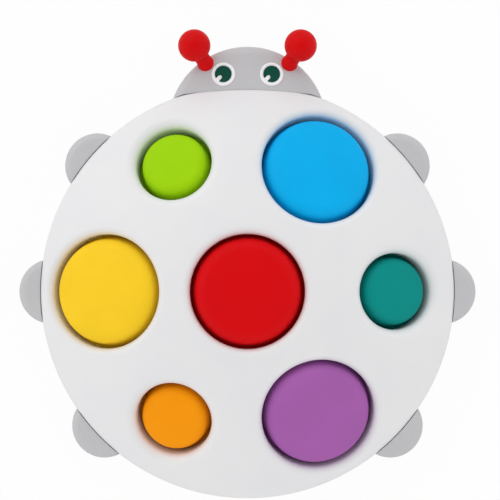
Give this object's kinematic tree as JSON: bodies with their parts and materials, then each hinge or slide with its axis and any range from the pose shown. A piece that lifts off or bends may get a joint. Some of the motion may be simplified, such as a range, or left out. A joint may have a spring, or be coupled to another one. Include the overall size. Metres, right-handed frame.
{
  "type": "bubble pop fidget toy",
  "caption": "Beetle-shaped fidget toy: domed white disc body with silicone bubbles that pop through, a grey head with eyes and antennae, and grey feet.",
  "frame": {"origin": "centre of the flat ring that the body rests on", "axes": "+Z out of the domed front face, +Y towards the head"},
  "size_m": [0.1988, 0.2033, 0.046],
  "materials": {
    "shell_front": "satin moulded",
    "shell_rear": "satin moulded",
    "grey_plastic": "fine matt texture",
    "eye_white": "glossy",
    "pupil_green": "glossy",
    "antenna_red": "satin silicone",
    "screw_steel": "plated",
    "red_silicone": "satin silicone",
    "blue_silicone": "satin silicone",
    "green_silicone": "satin silicone",
    "yellow_silicone": "satin silicone",
    "orange_silicone": "satin silicone",
    "purple_silicone": "satin silicone",
    "teal_silicone": "satin silicone"
  },
  "bodies": {
    "body": {"front_shell": "shell_front", "rear_shell": "shell_rear", "red_skirt": "red_silicone", "blue_skirt": "blue_silicone", "green_skirt": "green_silicone", "yellow_skirt": "yellow_silicone", "orange_skirt": "orange_silicone", "purple_skirt": "purple_silicone", "teal_skirt": "teal_silicone", "foot_right": "grey_plastic", "foot_upper_right": "grey_plastic", "foot_upper_left": "grey_plastic", "foot_left": "grey_plastic", "foot_lower_left": "grey_plastic", "foot_lower_right": "grey_plastic", "head_front": "grey_plastic", "head_rear": "grey_plastic", "eye_right": "eye_white", "eye_left": "eye_white", "pupil_right": "pupil_green", "pupil_left": "pupil_green", "antenna_right": "antenna_red", "antenna_left": "antenna_red", "body_screws": "screw_steel", "head_screws": "screw_steel"},
    "red_bubble": {"red_crown": "red_silicone"},
    "blue_bubble": {"blue_crown": "blue_silicone"},
    "green_bubble": {"green_crown": "green_silicone"},
    "yellow_bubble": {"yellow_crown": "yellow_silicone"},
    "orange_bubble": {"orange_crown": "orange_silicone"},
    "purple_bubble": {"purple_crown": "purple_silicone"},
    "teal_bubble": {"teal_crown": "teal_silicone"}
  },
  "joints": [
    {"name": "red_pop", "type": "slide", "parent": "body", "child": "red_bubble", "axis": [0, 0, -1], "range_m": [0, 0.026], "deforming": ["red_skirt"]},
    {"name": "blue_pop", "type": "slide", "parent": "body", "child": "blue_bubble", "axis": [-0.1783, -0.3087, -0.9343], "range_m": [0, 0.026], "deforming": ["blue_skirt"]},
    {"name": "green_pop", "type": "slide", "parent": "body", "child": "green_bubble", "axis": [0.1857, -0.3217, -0.9284], "range_m": [0, 0.0212], "deforming": ["green_skirt"]},
    {"name": "yellow_pop", "type": "slide", "parent": "body", "child": "yellow_bubble", "axis": [0.3565, 0, -0.9343], "range_m": [0, 0.026], "deforming": ["yellow_skirt"]},
    {"name": "orange_pop", "type": "slide", "parent": "body", "child": "orange_bubble", "axis": [0.1857, 0.3217, -0.9284], "range_m": [0, 0.0212], "deforming": ["orange_skirt"]},
    {"name": "purple_pop", "type": "slide", "parent": "body", "child": "purple_bubble", "axis": [-0.1783, 0.3087, -0.9343], "range_m": [0, 0.026], "deforming": ["purple_skirt"]},
    {"name": "teal_pop", "type": "slide", "parent": "body", "child": "teal_bubble", "axis": [-0.3715, 0, -0.9284], "range_m": [0, 0.0212], "deforming": ["teal_skirt"]}
  ]
}
